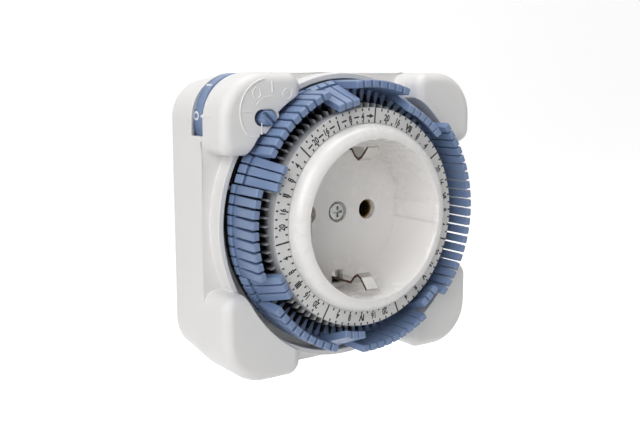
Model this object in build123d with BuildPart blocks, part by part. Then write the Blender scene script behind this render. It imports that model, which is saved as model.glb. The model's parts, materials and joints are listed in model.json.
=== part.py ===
from build123d import *
from math import acos, cos, pi, radians, sin, tan
import os

# Plug-in seven-day timer: a wall-plug box with a mains socket in the middle of a ring of
# flip segments. Millimetres. +Z up, +X to the right as seen from the front, +Y into the wall.
# The origin is on the plug's axis in the plane of the housing's rear face, and a height
# below is a distance in front of that plane, so it points along -Y.

# Housing: its middle lies a little lower than the plug's axis, and its rear part tapers
box_width, box_height = 76.4, 73.6
box_x, box_z = 0.1, -1.3
box_corner = 11.2
taper, taper_front = 1.6, 14.5
wall = 1.8
floor_front = 18.9
floor_back = 16.9
recess_z = -0.8
rim_inner, rim_outer, rim_front = 34.9, 36.3, 23.4
lug_front = 29.2
lug_cut = 35.7
lug_skin = 2.0
lug_end_corner, lug_edge = 3.5, 2.6
dial_opening = 26.2
# Right or left edge and lower or upper edge of each corner lug
lug_edges = {"top_left": (-16.3, 16.5), "bottom_left": (-16.7, -16.3),
             "top_right": (19.4, 17.1), "bottom_right": (18.5, -16.3)}
screw_places = [(30.0, 27.4), (30.0, -30.0), (-30.0, -30.0)]
screw_radius = 1.4
post_radius = 3.2

# Socket in the middle
cup_inner, cup_outer = 19.5, 21.62
cup_floor_front, cup_floor_back = 20.5, 18.7
cup_mouth = 37.3
collar_radius, collar_back = 23.3, 33.5
guide_rib_inner, guide_rib_width = 18.75, 4.4
pin_spacing = 19.0
pin_hole_radius = 2.65
pin_radius, pin_length = 2.4, 19.0
pin_shank = 2.0
clip_half_width = 1.75
strip_thickness = 0.6

# Plug at the rear
cover_thickness = 1.8
plug_radius, plug_depth, plug_wall = 19.0, 17.0, 1.6

# Dial
dial_front = 33.4
dial_bore = 21.7
hub_outer = 23.4
plate_outer, plate_thickness = 27.2, 1.2
plate_edge_inner, plate_edge_back = 26.4, 30.6
skirt_inner, skirt_outer = 25.2, 27.0
disc_outer, disc_back, disc_front = 32.8, 19.2, 20.6
gear_back, gear_front = 13.4, 16.4
segment_count = 84
segment_pitch = 360 / segment_count
first_line = 85.79
pivot_radius, pivot_height = 28.4, 24.8
wire_radius = 0.5
tilt = 22.0
rib_thickness = 0.5
plate_width, plate_tip_width, leg_width = 2.1, 1.88, 1.2
# First and last tilted segment of each group, counted from the day line on top
tilted_groups = [(3, 5), (15, 17), (27, 29), (39, 41), (51, 53), (74, 79)]

# Wheels that drive the dial
gear_module = 0.5
dial_teeth, wheel_teeth, compound_pinion_teeth, motor_pinion_teeth = 100, 40, 12, 10
compound_direction = -45.0
motor_direction = 190.0
axle_radius = 1.0

# Selector
selector_x, selector_z = -26.5, 25.1
drum_radius, drum_back, drum_front = 10.3, 11.6, 16.9
selector_shaft_radius, selector_shaft_front = 1.72, 30.8
window_back, window_front = 11.5, 17.0
window_low_z, window_right_x = 20.6, -20.2

# Switch
follower_x, follower_z = -32.7, 8.76
follower_tip = 21.7
follower_travel, ramp_low = 1.1, 9.46
blade_hinge_z, blade_height = -9.0, 5.7

os.makedirs("parts", exist_ok=True)


def front(height):
    """Sketch plane at a height in front of the rear face, drawn as seen from the front."""
    return Plane.XZ.offset(height)


def save(piece, name):
    """Label a finished piece and write its STEP file."""
    piece.label = name
    export_step(piece, f"parts/{name}.step")


def side(points):
    """Turn (radius, height) points into coordinates of the plane through the dial's axis."""
    return [(radius, -height) for radius, height in points]


def turned(points):
    """Ring turned about the plug's axis from a closed outline of (radius, height) points."""
    with BuildPart() as ring:
        with BuildSketch(Plane.XY):
            Polygon(*side(points), align=None)
        revolve(axis=Axis.Y)
    return ring.part


def block(left, right, low, high, back, face):
    """Block between two x, two z and two heights."""
    with BuildPart() as piece:
        with BuildSketch(front(back)):
            with Locations(((left + right) / 2, (low + high) / 2)):
                Rectangle(right - left, high - low)
        extrude(amount=face - back)
    return piece.part


def rod(x, z, radius, back, face):
    """Round rod along the plug's axis between two heights."""
    with BuildPart() as piece:
        with BuildSketch(front(back)):
            with Locations((x, z)):
                Circle(radius)
        extrude(amount=face - back)
    return piece.part


def plate(points, back, face):
    """Flat plate with an outline of (x, z) points between two heights."""
    with BuildPart() as piece:
        with BuildSketch(front(back)):
            Polygon(*points, align=None)
        extrude(amount=face - back)
    return piece.part


def around(angle):
    """Location that turns a piece made on +X to an angle on the dial, counted towards +Z."""
    return Location((0, 0, 0), (0, -angle, 0))


def gear(teeth, back, face, turn, x=0.0, z=0.0, addendum=0.8, dedendum=1.25, thinning=0.09):
    """Spur gear with involute flanks, its first tooth at an angle counted from +X."""
    pitch = teeth * gear_module / 2
    base = pitch * cos(radians(20))
    tip = pitch + addendum * gear_module
    root = pitch - dedendum * gear_module

    def involute(radius):
        slope = acos(base / max(radius, base))
        return tan(slope) - slope

    def half_angle(radius):
        half_tooth = pi / (2 * teeth) - thinning / (2 * pitch)
        return half_tooth + involute(pitch) - involute(radius)

    radii = [root, max(root, base), (max(root, base) + pitch) / 2, pitch, (pitch + tip) / 2, tip]
    points = []
    for tooth in range(teeth):
        middle = radians(turn) + 2 * pi * tooth / teeth
        for radius in radii:
            angle = middle - half_angle(radius)
            points.append((x + radius * cos(angle), z + radius * sin(angle)))
        for radius in reversed(radii):
            angle = middle + half_angle(radius)
            points.append((x + radius * cos(angle), z + radius * sin(angle)))
    return plate(list(dict.fromkeys(points)), back, face)


# Places worked out from the driving dimensions
compound_distance = gear_module * (dial_teeth + compound_pinion_teeth) / 2
compound_x = compound_distance * cos(radians(compound_direction))
compound_z = compound_distance * sin(radians(compound_direction))
motor_distance = gear_module * (wheel_teeth + motor_pinion_teeth) / 2
output_x = compound_x + motor_distance * cos(radians(motor_direction))
output_z = compound_z + motor_distance * sin(radians(motor_direction))
box_left, box_right = box_x - box_width / 2, box_x + box_width / 2
box_bottom, box_top = box_z - box_height / 2, box_z + box_height / 2
inner_width = box_width - 2 * (taper + wall)
inner_height = box_height - 2 * (taper + wall)
inner_corner = box_corner - taper - wall
strip_back = cup_floor_back - strip_thickness
pin_x = pin_spacing / 2


# Housing: open box with a recessed floor, a round rim and four corner lugs
lug_ends = []
for edge_x, edge_z in lug_edges.values():
    corner_x = box_right if edge_x > 0 else box_left
    corner_z = box_top if edge_z > 0 else box_bottom
    lug_ends += [(edge_x, corner_z), (corner_x, edge_z)]


def is_lug_end(corner):
    """Whether a corner of the lugs' plan is where a lug ends on the box's side."""
    return any(abs(corner.X - x) + abs(corner.Y - z) < 0.05 for x, z in lug_ends)


def on_lug_cut(edge):
    """Whether an edge runs along the round cut-out between the lugs."""
    middle = edge @ 0.5
    return abs((middle.X ** 2 + (middle.Z - recess_z) ** 2) ** 0.5 - lug_cut) < 0.05


with BuildPart() as housing:
    with BuildSketch(front(0)):
        with Locations((box_x, box_z)):
            RectangleRounded(box_width - 2 * taper, box_height - 2 * taper, box_corner - taper)
    with BuildSketch(front(taper_front)):
        with Locations((box_x, box_z)):
            RectangleRounded(box_width, box_height, box_corner)
    loft(ruled=True)
    with BuildSketch(front(taper_front)):
        with Locations((box_x, box_z)):
            RectangleRounded(box_width, box_height, box_corner)
    extrude(amount=floor_front - taper_front)
    with BuildSketch(front(floor_front)):
        with Locations((0, recess_z)):
            Circle(rim_outer)
    extrude(amount=rim_front - floor_front)
    with BuildSketch(front(floor_front)) as lug_plan:
        with Locations((box_x, box_z)):
            RectangleRounded(box_width, box_height, box_corner)
        with BuildSketch(mode=Mode.INTERSECT):
            for edge_x, edge_z in lug_edges.values():
                corner_x = box_right if edge_x > 0 else box_left
                corner_z = box_top if edge_z > 0 else box_bottom
                with Locations(((edge_x + corner_x) / 2, (edge_z + corner_z) / 2)):
                    Rectangle(abs(corner_x - edge_x), abs(corner_z - edge_z))
        with Locations((0, recess_z)):
            Circle(lug_cut, mode=Mode.SUBTRACT)
        fillet(lug_plan.vertices().filter_by(is_lug_end), lug_end_corner)
    extrude(amount=lug_front - floor_front)
    # Rounded front edges of the lugs
    front_edges = housing.edges().filter_by(Plane.XZ)
    lug_rim = front_edges.filter_by_position(Axis.Y, -lug_front - 0.01, -lug_front + 0.01)
    fillet(lug_rim.filter_by(lambda edge: not on_lug_cut(edge)), lug_edge)
    # Hollow of the box and of the lugs
    with BuildSketch(front(0)):
        with Locations((box_x, box_z)):
            RectangleRounded(inner_width, inner_height, inner_corner)
    extrude(amount=floor_back, mode=Mode.SUBTRACT)
    with BuildSketch(front(floor_back)):
        with Locations((box_x, box_z)):
            RectangleRounded(inner_width, inner_height, inner_corner)
        with BuildSketch(mode=Mode.INTERSECT):
            for edge_x, edge_z in lug_edges.values():
                toward_x = 1 if edge_x > 0 else -1
                toward_z = 1 if edge_z > 0 else -1
                near_x = edge_x + toward_x * wall
                near_z = edge_z + toward_z * wall
                far_x = box_x + toward_x * inner_width / 2
                far_z = box_z + toward_z * inner_height / 2
                with Locations(((near_x + far_x) / 2, (near_z + far_z) / 2)):
                    Rectangle(abs(far_x - near_x), abs(far_z - near_z))
        with Locations((0, recess_z)):
            Circle(lug_cut + wall, mode=Mode.SUBTRACT)
    extrude(amount=lug_front - lug_skin - floor_back, mode=Mode.SUBTRACT)
    # Recess for the dial inside the rim, and the opening that the dial's gear passes
    with BuildSketch(front(floor_front)):
        with Locations((0, recess_z)):
            Circle(rim_inner)
    extrude(amount=rim_front - floor_front, mode=Mode.SUBTRACT)
    with BuildSketch(front(floor_back)):
        Circle(dial_opening)
    extrude(amount=floor_front - floor_back, mode=Mode.SUBTRACT)
    # Posts for the rear screws, up to the skin of the lugs
    with BuildSketch(front(cover_thickness)):
        with Locations(*screw_places):
            Circle(post_radius)
    extrude(amount=lug_front - lug_skin - cover_thickness)
    with BuildSketch(front(cover_thickness)):
        with Locations(*screw_places):
            Circle(screw_radius)
    extrude(amount=10.2, mode=Mode.SUBTRACT)
    # Selector: round boss in the lug's cut-out, slot for the shaft, pocket and window for the drum
    with BuildSketch(front(lug_front - 2.8)):
        with Locations((selector_x, selector_z)):
            Circle(3.6)
        Circle(34.05, mode=Mode.SUBTRACT)
    extrude(amount=2.8)
    with BuildSketch(front(lug_front - 3)):
        with Locations((selector_x, selector_z)):
            SlotOverall(6.0, 3.8)
    extrude(amount=3, mode=Mode.SUBTRACT)
    with BuildSketch(front(drum_front)):
        with Locations((selector_x, selector_z)):
            Circle(selector_shaft_radius + 0.33)
    extrude(amount=lug_front - 2.8 - drum_front, mode=Mode.SUBTRACT)
    with BuildSketch(front(window_back)):
        with Locations((selector_x, selector_z)):
            Circle(drum_radius + 0.12)
    extrude(amount=window_front - window_back, mode=Mode.SUBTRACT)
    with BuildSketch(front(window_back)):
        with Locations((window_right_x - 15, window_low_z + 15)):
            Rectangle(30, 30)
    extrude(amount=window_front - window_back, mode=Mode.SUBTRACT)
    # Hole for the follower's tip and blind seat for the compound wheel's axle
    with BuildSketch(front(floor_back)):
        with Locations((follower_x, follower_z)):
            Circle(0.95)
    extrude(amount=floor_front - floor_back, mode=Mode.SUBTRACT)
    with BuildSketch(front(floor_back)):
        with Locations((compound_x, compound_z)):
            Circle(axle_radius)
    extrude(amount=1.0, mode=Mode.SUBTRACT)
save(housing.part, "housing")


# Rear cover: flush plate with the plug's round body, its guide grooves and the inner posts
with BuildPart() as rear_cover:
    with BuildSketch(front(0)):
        with Locations((box_x, box_z)):
            RectangleRounded(inner_width - 0.3, inner_height - 0.3, inner_corner - 0.15)
    extrude(amount=cover_thickness)
    with BuildSketch(front(-plug_depth)):
        Circle(plug_radius)
    extrude(amount=plug_depth)
    fillet(rear_cover.edges().sort_by(Axis.Y)[-1], 0.7)
    with BuildSketch(front(-plug_depth + 2)):
        Circle(plug_radius - plug_wall)
    extrude(amount=plug_depth - 2 + cover_thickness, mode=Mode.SUBTRACT)
    with BuildSketch(front(-plug_depth)):
        with Locations((plug_radius, 0), (-plug_radius, 0)):
            Rectangle(2.2, 5.2)
    extrude(amount=plug_depth, mode=Mode.SUBTRACT)
    with BuildSketch(front(-plug_depth)):
        with Locations((0, plug_radius), (0, -plug_radius)):
            Rectangle(4.4, 2.0)
        with Locations((pin_x, 0), (-pin_x, 0)):
            Circle(pin_shank + 0.05)
    extrude(amount=plug_depth, mode=Mode.SUBTRACT)
    with BuildSketch(front(-12.05)):
        Rectangle(3.7, 2 * plug_radius)
    extrude(amount=0.9, mode=Mode.SUBTRACT)
    # Long post for the centre screw
    with BuildSketch(front(-plug_depth + 1)):
        Circle(3.5)
    extrude(amount=strip_back + plug_depth - 1)
    with BuildSketch(front(7.0)):
        Circle(1.45)
    extrude(amount=12, mode=Mode.SUBTRACT)
    # Boss of the compound wheel's axle, pivot post of the selector and posts of its leaf
    with BuildSketch(front(1)):
        with Locations((compound_x, compound_z)):
            Circle(2.6)
        with Locations((selector_x + 4.1, 18.8), (selector_x + 4.1, 30.8)):
            Rectangle(1.3, 1.0)
    extrude(amount=7.2)
    with BuildSketch(front(1)):
        with Locations((selector_x, selector_z)):
            Circle(1.5)
    extrude(amount=13.5)
    with BuildSketch(front(cover_thickness)):
        with Locations((compound_x, compound_z)):
            Circle(axle_radius)
    extrude(amount=8, mode=Mode.SUBTRACT)
    # Countersunk holes of the rear screws
    for screw_x, screw_z in screw_places:
        with BuildSketch(front(0)):
            with Locations((screw_x, screw_z)):
                Circle(2.8)
        with BuildSketch(front(1.4)):
            with Locations((screw_x, screw_z)):
                Circle(screw_radius)
        loft(mode=Mode.SUBTRACT)
        with BuildSketch(front(1.4)):
            with Locations((screw_x, screw_z)):
                Circle(screw_radius)
        extrude(amount=1, mode=Mode.SUBTRACT)
save(rear_cover.part, "rear_cover")

with BuildPart() as housing_screws:
    for screw_x, screw_z in screw_places:
        with BuildSketch(front(0.15)):
            with Locations((screw_x, screw_z)):
                Circle(2.65)
        with BuildSketch(front(1.4)):
            with Locations((screw_x, screw_z)):
                Circle(screw_radius)
        loft()
        with BuildSketch(front(1.4)):
            with Locations((screw_x, screw_z)):
                Circle(screw_radius)
        extrude(amount=9.8)
        with BuildSketch(front(0.15)):
            with Locations((screw_x, screw_z)):
                Rectangle(3.0, 0.6)
                Rectangle(0.6, 3.0)
        extrude(amount=0.8, mode=Mode.SUBTRACT)
save(housing_screws.part, "housing_screws")


# Socket insert: round cup with a rounded collar that holds the dial, floor holes and guide ribs
cup = turned([(0, cup_floor_back), (cup_outer, cup_floor_back), (cup_outer, collar_back),
              (collar_radius, collar_back), (collar_radius, cup_mouth), (cup_inner + 0.3, cup_mouth),
              (cup_inner, cup_mouth - 1.1), (cup_inner, cup_floor_front), (0, cup_floor_front)])
rib_middle = (guide_rib_inner + cup_inner + 0.5) / 2
with BuildPart() as socket_insert:
    add(cup)
    collar_edges = socket_insert.edges().filter_by(GeomType.CIRCLE).filter_by_position(
        Axis.Y, -cup_mouth - 0.01, -cup_mouth + 0.01)
    fillet(collar_edges.filter_by(lambda edge: edge.radius > collar_radius - 0.1), 3.3)
    with BuildSketch(front(cup_floor_front)):
        with Locations((rib_middle, 0), (-rib_middle, 0)):
            Rectangle(cup_inner + 0.5 - guide_rib_inner, guide_rib_width)
    extrude(amount=cup_mouth - 1.1 - cup_floor_front)
    with BuildSketch(front(cup_floor_back)):
        with Locations((pin_x, 0), (-pin_x, 0)):
            Circle(pin_hole_radius)
        with Locations((0, -17.05), (0, 17.05)):
            Rectangle(2 * clip_half_width + 0.2, 3.5)
        Circle(1.6)
    extrude(amount=cup_floor_front - cup_floor_back, mode=Mode.SUBTRACT)
    with BuildSketch(front(cup_floor_front - 1.2)):
        Circle(2.8)
    extrude(amount=1.2, mode=Mode.SUBTRACT)
save(socket_insert.part, "socket_insert")

with BuildPart() as centre_screw:
    with BuildSketch(front(7.6)):
        Circle(1.45)
    extrude(amount=cup_floor_front - 1.15 - 7.6)
    with BuildSketch(front(cup_floor_front - 1.15)):
        Circle(2.3)
    extrude(amount=1.0)
    fillet(centre_screw.edges().sort_by(Axis.Y)[0], 0.45)
    with BuildSketch(front(cup_floor_front - 0.9)):
        Rectangle(2.9, 0.7)
        Rectangle(0.7, 2.9)
    extrude(amount=1, mode=Mode.SUBTRACT)
save(centre_screw.part, "centre_screw")

# Earth strip under the socket's floor with a springy clip at the top and at the bottom
clip_line = [(strip_back + strip_thickness / 2, 17.0), (28.7, 16.9), (30.1, 15.3), (31.5, 14.5),
             (32.9, 15.2), (35.2, 17.7)]
with BuildPart() as earth_strip:
    with BuildSketch(front(strip_back)):
        Rectangle(2 * clip_half_width, 34.6)
        Circle(5.0)
        Circle(1.6, mode=Mode.SUBTRACT)
    extrude(amount=strip_thickness)
    for direction in (1, -1):
        with BuildSketch(Plane.YZ.offset(-clip_half_width)):
            with BuildLine() as clip_path:
                Polyline(*[(-height, direction * z) for height, z in clip_line])
            trace(lines=clip_path.line.edges(), line_width=strip_thickness)
        extrude(amount=2 * clip_half_width)
save(earth_strip.part, "earth_strip")

with BuildPart() as earth_link:
    add(block(3.6, 4.4, -1.5, 1.5, -11.2, strip_back))
save(earth_link.part, "earth_link")

with BuildPart() as plug_earth_strip:
    with BuildSketch(front(-12.0)):
        Rectangle(3.6, 2 * 18.8)
        Circle(5.0)
        Circle(3.5, mode=Mode.SUBTRACT)
    extrude(amount=0.8)
    add(block(-1.8, 1.8, 18.0, 18.8, -15.5, -3.0))
    add(block(-1.8, 1.8, -18.8, -18.0, -15.5, -3.0))
save(plug_earth_strip.part, "plug_earth_strip")


# Plug pins, contact sleeves and the strips between them
for label, place in (("left", -pin_x), ("right", pin_x)):
    with BuildPart() as plug_pin:
        add(rod(place, 0, pin_radius, -plug_depth - pin_length, -plug_depth - 0.02))
        add(rod(place, 0, pin_shank, -plug_depth - 0.02, -12.0))
        add(rod(place, 0, 3.2, -plug_depth + 2, -13.4))
        fillet(plug_pin.edges().sort_by(Axis.Y)[-1], 1.2)
    save(plug_pin.part, f"plug_pin_{label}")

    with BuildPart() as sleeve:
        with BuildSketch(front(6.5)):
            with Locations((place, 0)):
                Circle(3.1)
                Circle(2.45, mode=Mode.SUBTRACT)
                with Locations((0, 2.8)):
                    Rectangle(0.8, 2.0, mode=Mode.SUBTRACT)
        extrude(amount=cup_floor_back - 0.3 - 6.5)
    save(sleeve.part, f"sleeve_{label}")

with BuildPart() as neutral_strip:
    add(block(pin_x + 2.45, pin_x + 3.1, -1.6, 1.6, -9.8, 6.5))
    add(block(pin_x - 0.5, pin_x + 3.1, -1.6, 1.6, -12.0, -9.8))
save(neutral_strip.part, "neutral_strip")

with BuildPart() as line_strip:
    add(block(-pin_x - 0.4, -pin_x + 0.4, -2.0, 2.0, -12.0, 4.0))
    add(plate([(-9.1, 2.0), (-11.5, 2.0), (-21.0, -8.0), (-30.0, -8.0), (-30.0, -11.5),
               (-19.5, -11.5), (-9.1, -1.0)], 4.0, 4.6))
    add(block(-30.0, -27.0, -11.0, -8.6, 4.6, blade_height - 0.25))
save(line_strip.part, "line_strip")


# Switch: base with the follower's guide, fixed contact, moving blade and follower
with BuildPart() as switch_base:
    add(block(-33.5, -23.5, -12.0, 6.5, cover_thickness, 4.0))
    add(block(-25.5, -23.5, -3.0, 2.0, 4.0, 8.2))
    add(rod(follower_x, follower_z, 1.9, cover_thickness, 5.4))
    add(block(-33.5, -31.0, 5.0, 8.0, cover_thickness, 4.0))
    with BuildSketch(front(2.4)):
        with Locations((follower_x, follower_z)):
            Circle(1.15)
    extrude(amount=4, mode=Mode.SUBTRACT)
save(switch_base.part, "switch_base")

with BuildPart() as fixed_contact:
    add(block(-30.0, -10.5, -3.0, 2.0, 8.2, 8.8))
    add(rod(-28.5, 1.0, 1.4, 7.4, 8.2))
    add(rod(-pin_x, 0, 3.1, 8.0, 9.0), mode=Mode.SUBTRACT)
save(fixed_contact.part, "fixed_contact")

with BuildPart() as moving_blade:
    add(block(-30.0, -27.0, blade_hinge_z - 0.3, 9.5, blade_height - 0.15, blade_height + 0.15))
    add(rod(-28.5, 1.0, 1.4, blade_height + 0.15, blade_height + 0.8))
save(moving_blade.part, "moving_blade")

with BuildPart() as follower:
    add(rod(follower_x, follower_z, 0.6, 14.0, follower_tip))
    add(block(-34.0, -30.9, 7.2, 10.4, 6.9, 14.0))
    add(rod(follower_x, follower_z, 1.0, 3.0, 6.9))
    add(block(-31.0, -28.0, 7.4, 9.4, 6.0, 7.6))
    add(plate([(-33.0, 9.0), (-30.9, 8.0), (selector_x + 1, selector_z - 7.4),
               (selector_x + 1, selector_z - 4.8), (selector_x - 1, selector_z - 4.8),
               (-33.0, 12.0)], 8.2, 9.25))
save(follower.part, "follower")


# Selector: drum with its front shaft, slanted driver slot and the ramp that sets the follower.
# The ramp's face is a screw surface that rises evenly with the angle from the drum's lowest point
with BuildPart() as ramp:
    for turn in range(-14, 92, 15):
        height = ramp_low + follower_travel * turn / 90
        angle = radians(-90 - turn)
        radial = (cos(angle), 0, sin(angle))
        across = (sin(angle), 0, -cos(angle))
        with BuildSketch(Plane(origin=(selector_x, 0, selector_z), x_dir=radial, z_dir=across)):
            Polygon((4.5, height), (7.5, height), (7.5, drum_back + 0.4), (4.5, drum_back + 0.4),
                    align=None)
    loft(ruled=True)
with BuildPart() as selector:
    add(rod(selector_x, selector_z, drum_radius, drum_back, drum_front))
    fillet(selector.edges(), 0.3)
    add(rod(selector_x, selector_z, 3.0, 8.0, drum_back))
    add(rod(selector_x, selector_z, selector_shaft_radius, drum_front, selector_shaft_front))
    with BuildSketch(front(selector_shaft_front - 1.2)):
        with Locations((selector_x, selector_z)):
            Rectangle(5.0, 0.8, rotation=137)
    extrude(amount=2, mode=Mode.SUBTRACT)
    with BuildSketch(front(8.0)):
        with Locations((selector_x, selector_z)):
            Circle(1.6)
    extrude(amount=7.2, mode=Mode.SUBTRACT)
    add(ramp.part)
save(selector.part, "selector")

with BuildPart() as selector_leaf:
    add(block(selector_x + 3.15, selector_x + 3.45, 18.3, 31.3, 5.8, 8.2))
save(selector_leaf.part, "selector_leaf")


# Motor with its gear case, coil, rotor and output pinion, and the compound wheel
motor_x, motor_z, motor_radius = -0.5, -22.2, 11.4
with BuildPart() as motor_can:
    add(rod(motor_x, motor_z, motor_radius, 2.2, 9.0))
    fillet(motor_can.edges().sort_by(Axis.Y)[-1], 0.8)
    add(rod(motor_x, motor_z, motor_radius - 0.5, 2.7, 9.1), mode=Mode.SUBTRACT)
save(motor_can.part, "motor_can")

with BuildPart() as motor_plate:
    add(rod(motor_x, motor_z, motor_radius, 9.0, 9.7))
    add(rod(output_x, output_z, 1.9, 9.7, 10.1))
    add(rod(output_x, output_z, axle_radius + 0.05, 8.9, 10.2), mode=Mode.SUBTRACT)
save(motor_plate.part, "motor_plate")

with BuildPart() as motor_coil:
    add(rod(motor_x, motor_z, 9.6, 3.2, 7.6))
    add(rod(motor_x, motor_z, 6.0, 3.0, 8.0), mode=Mode.SUBTRACT)
save(motor_coil.part, "motor_coil")

with BuildPart() as motor_rotor:
    add(rod(motor_x, motor_z, 4.8, 3.6, 7.4))
    add(rod(motor_x, motor_z, 0.6, 2.9, 8.8))
save(motor_rotor.part, "motor_rotor")

wheel_line = motor_direction % (360 / wheel_teeth)
output_turn = motor_direction + 180 + 180 / motor_pinion_teeth
with BuildPart() as motor_pinion:
    add(gear(motor_pinion_teeth, 10.3, 12.4, output_turn, output_x, output_z))
    add(rod(output_x, output_z, axle_radius, 7.9, 10.3))
save(motor_pinion.part, "motor_pinion")

compound_turn = (compound_direction + 180) % (360 / compound_pinion_teeth)
with BuildPart() as compound_gear:
    add(gear(wheel_teeth, 10.4, 12.0, wheel_line, compound_x, compound_z))
    add(gear(compound_pinion_teeth, 12.0, 16.5, compound_turn, compound_x, compound_z))
    add(rod(compound_x, compound_z, 2.2, 8.4, 10.4))
    add(rod(compound_x, compound_z, axle_radius + 0.06, 8.0, 17.0), mode=Mode.SUBTRACT)
save(compound_gear.part, "compound_gear")

with BuildPart() as gear_axle:
    add(rod(compound_x, compound_z, axle_radius, cover_thickness, floor_back + 1.0))
save(gear_axle.part, "gear_axle")


# Dial: dark carrier with its hub, gear, skirt, rear disc and a rib between every two segments,
# and the pale scale ring in front of it
plate_back = dial_front - plate_thickness
carrier_front = plate_back - 0.05
carrier_step = plate_edge_back - 0.1
carrier_edge = plate_edge_inner - 0.05
carrier_ring = turned([(dial_bore, gear_back), (hub_outer, gear_back), (hub_outer, carrier_front - 1.2),
                       (skirt_inner, carrier_front - 1.2), (skirt_inner, disc_back),
                       (disc_outer, disc_back), (disc_outer, disc_front), (skirt_outer, disc_front),
                       (skirt_outer, carrier_step), (carrier_edge, carrier_step),
                       (carrier_edge, carrier_front), (dial_bore, carrier_front)])
dial_gear = gear(dial_teeth, gear_back, gear_front, 0)
with BuildPart() as rib:
    with BuildSketch(Plane.XY.offset(-rib_thickness / 2)):
        Polygon(*side([(skirt_outer - 1, disc_back + 0.7), (30.6, disc_back + 0.7), (30.6, 26.2),
                       (28.6, 26.9), (28.2, carrier_step), (skirt_outer - 1, carrier_step)]),
                align=None)
        with Locations((pivot_radius, -pivot_height)):
            Circle(wire_radius + 0.01, mode=Mode.SUBTRACT)
    extrude(amount=rib_thickness)
with BuildPart() as dial:
    add(dial_gear)
    add(rod(0, 0, hub_outer, gear_back - 1, gear_front + 1), mode=Mode.SUBTRACT)
    add(carrier_ring)
    with Locations(*[around(first_line + segment_pitch * line) for line in range(segment_count)]):
        add(rib.part)
save(dial.part, "dial")

with BuildPart() as scale_ring:
    add(turned([(dial_bore, plate_back), (plate_edge_inner, plate_back),
                (plate_edge_inner, plate_edge_back), (plate_outer, plate_edge_back),
                (plate_outer, dial_front), (dial_bore, dial_front)]))
save(scale_ring.part, "scale_ring")

with BuildPart() as pivot_wire:
    with BuildSketch(Plane.XY):
        with Locations((pivot_radius, -pivot_height)):
            Circle(wire_radius)
    revolve(axis=Axis.Y, revolution_arc=358)
save(pivot_wire.part, "pivot_wire")


# Flip segment, made on +X: a wide plate with a foot, and a narrow leg hooked on the wire
with BuildPart() as segment_plate:
    with BuildSketch(Plane.XY.offset(-plate_width / 2)):
        Polygon(*side([(32.0, 34.8), (33.5, 34.8), (33.8, 34.4), (33.8, 25.9), (33.0, 25.9),
                       (33.0, 24.9), (33.9, 24.9), (33.9, 22.9), (31.6, 22.9), (31.6, 26.2),
                       (31.9, 26.6)]), align=None)
    extrude(amount=plate_width)
    with BuildSketch(Plane.YZ.offset(30)):
        Polygon((-22, plate_width / 2), (-26, plate_width / 2), (-35, plate_tip_width / 2),
                (-35, -plate_tip_width / 2), (-26, -plate_width / 2), (-22, -plate_width / 2),
                align=None)
    extrude(amount=5, mode=Mode.INTERSECT)
with BuildPart() as segment:
    add(segment_plate.part)
    with BuildSketch(Plane.XY.offset(-leg_width / 2)):
        with Locations((pivot_radius, -pivot_height)):
            Circle(1.1)
        Polygon(*side([(28.4, 25.9), (28.4, 23.7), (32.0, 22.9), (32.0, 26.2)]), align=None)
    extrude(amount=leg_width)
    with BuildSketch(Plane.XY.offset(-leg_width / 2)):
        with Locations((pivot_radius, -pivot_height)):
            Circle(wire_radius + 0.08)
    extrude(amount=leg_width, mode=Mode.SUBTRACT)

pivot = Axis((pivot_radius, -pivot_height, 0), (0, 0, 1))
tilted_segment = segment.part.rotate(pivot, -tilt)
middle = first_line + segment_pitch / 2
for first, last in tilted_groups:
    for number in range(first, last + 1):
        with BuildPart() as flipped:
            with Locations(around(middle + segment_pitch * number)):
                add(tilted_segment)
        day, hour = number // 12 + 1, number % 12 * 2
        save(flipped.part, f"segment_day{day}_{hour:02d}h")

# Upright segments, joined in runs between the tilted groups
for run in range(len(tilted_groups)):
    first = tilted_groups[run - 1][1] + 1
    last = tilted_groups[run][0] - 1
    if first > last:
        first -= segment_count
    with BuildPart() as upright:
        with Locations(*[around(middle + segment_pitch * number) for number in range(first, last + 1)]):
            add(segment.part)
    save(upright.part, f"segments_run_{run + 1}")
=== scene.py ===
import json
import bmesh
import bpy
import numpy as np
from bpy.props import FloatProperty, FloatVectorProperty, IntProperty, PointerProperty
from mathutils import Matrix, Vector


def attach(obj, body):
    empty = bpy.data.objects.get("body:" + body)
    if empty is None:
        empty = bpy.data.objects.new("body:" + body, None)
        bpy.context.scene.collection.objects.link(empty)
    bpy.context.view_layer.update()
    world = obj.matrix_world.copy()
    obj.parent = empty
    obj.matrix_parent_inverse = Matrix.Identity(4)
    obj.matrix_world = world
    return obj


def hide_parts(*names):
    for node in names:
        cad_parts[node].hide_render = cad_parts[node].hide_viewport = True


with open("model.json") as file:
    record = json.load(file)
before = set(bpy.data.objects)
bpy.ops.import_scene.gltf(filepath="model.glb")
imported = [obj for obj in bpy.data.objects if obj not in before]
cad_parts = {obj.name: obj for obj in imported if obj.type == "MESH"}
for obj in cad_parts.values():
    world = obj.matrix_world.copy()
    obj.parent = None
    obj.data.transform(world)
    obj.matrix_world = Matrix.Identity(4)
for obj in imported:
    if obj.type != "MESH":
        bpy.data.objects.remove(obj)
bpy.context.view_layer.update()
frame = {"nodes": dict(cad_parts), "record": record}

bl_info = {
    "name": "Plug-in seven-day timer",
    "version": (1, 0, 0),
    "blender": (4, 5, 0),
    "location": "View3D > Sidebar > Timer",
    "description": "Dresses the packed plug-in timer and sets its stage",
    "category": "Object",
}

MM = 0.001
TURN = 2 * np.pi
# Steps round the dial's rings: four for each of its segments
RING_STEPS = 336
# Thickness of the scale's print, in millimetres
PRINT = 0.02
# Edges stay sharp past these angles in degrees, on pieces made here and on copies of CAD nodes
SHARP_MADE, SHARP_COPIED = 35, 30
# Middle of the selector's drum as (x, z), in millimetres
SELECTOR_AXIS = np.array([-26.5, 25.1])
# Two-hour segments in a day
DAY = 12
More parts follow.
